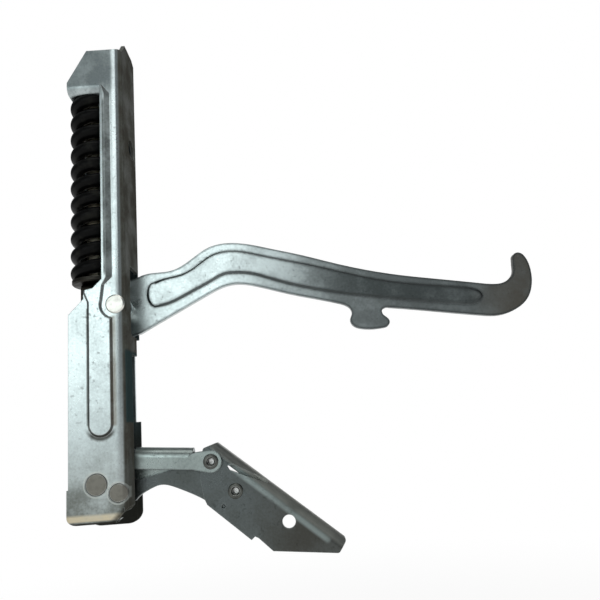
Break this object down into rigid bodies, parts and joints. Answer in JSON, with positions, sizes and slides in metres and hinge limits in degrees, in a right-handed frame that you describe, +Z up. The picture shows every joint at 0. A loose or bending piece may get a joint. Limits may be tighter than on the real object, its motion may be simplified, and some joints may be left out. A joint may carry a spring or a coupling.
{
  "type": "oven door hinge",
  "caption": "Spring-loaded oven door hinge: slotted sheet channel with a coil spring, a swinging hook arm and a folding link and bracket linkage below.",
  "frame": {"origin": "centre of the round fixing hole in the channel's web, on the web's outer face", "axes": "+X out of the web, towards the oven and along the hook arm; +Y across the channel, from the front flange with the spring window to the back flange; +Z up along the channel"},
  "size_m": [0.1903, 0.0257, 0.2149],
  "materials": {
    "zinc_channel": "bright galvanised sheet, slightly bluish, satin",
    "zinc_arm": "galvanised sheet, satin",
    "zinc_linkage": "galvanised sheet, satin",
    "black_spring": "oil-blackened spring wire with a light oil gloss",
    "plain_steel": "plain dull steel, lightly browned",
    "bright_pins": "turned steel, satin",
    "rivet_steel": "hollow rivets, satin steel"
  },
  "bodies": {
    "channel": {"door_channel": "zinc_channel", "compression_spring": "black_spring", "arm_pivot_rivet": "bright_pins", "pivot_washer": "bright_pins", "link_pivot_pin": "bright_pins", "plate_pivot_pin": "bright_pins", "link_bush_front": "bright_pins", "link_bush_rear": "bright_pins"},
    "arm": {"hook_arm": "zinc_arm", "inner_lever": "zinc_arm", "cross_pin": "bright_pins", "pivot_bush": "bright_pins"},
    "rod": {"guide_rod": "plain_steel", "rod_end_washer": "plain_steel", "spring_seat": "plain_steel", "rod_yoke": "plain_steel"},
    "plate": {"hinge_plate": "zinc_linkage"},
    "bracket": {"folded_bracket": "zinc_linkage", "bracket_rivet_upper": "rivet_steel", "bracket_rivet_lower": "rivet_steel", "link_spacer": "bright_pins"},
    "link": {"folded_link": "zinc_linkage"}
  },
  "joints": [
    {"name": "arm_swing", "type": "hinge", "parent": "channel", "child": "arm", "pos_m": [-0.0038, 0.0053, -0.0707], "axis": [0, 1, 0], "range_deg": [0, 80], "stiffness_Nm_per_rad": 8, "springref_deg": -17.19},
    {"name": "rod_slide", "type": "slide", "parent": "channel", "child": "rod", "axis": [0, 0, 1], "range_m": [0, 0.0136], "deforming": ["compression_spring"]},
    {"name": "plate_swing", "type": "hinge", "parent": "channel", "child": "plate", "pos_m": [-0.0037, -0.0005, -0.1412], "axis": [0, 1, 0], "range_deg": [0, 85]},
    {"name": "bracket_turn", "type": "hinge", "parent": "plate", "child": "bracket", "pos_m": [0.0378, -0.0005, -0.1445], "axis": [0, 1, 0], "range_deg": [-2, 0.5]},
    {"name": "link_turn", "type": "hinge", "parent": "bracket", "child": "link", "pos_m": [0.0291, -0.00125, -0.1329], "axis": [0, 1, 0], "range_deg": [-15.5, 0.5]}
  ],
  "couplings": [
    {"joint": "rod_slide", "follows": "arm_swing", "m_per_rad": 0.00957},
    {"joint": "bracket_turn", "follows": "plate_swing", "ratio": -0.0175},
    {"joint": "link_turn", "follows": "plate_swing", "ratio": -0.175}
  ]
}
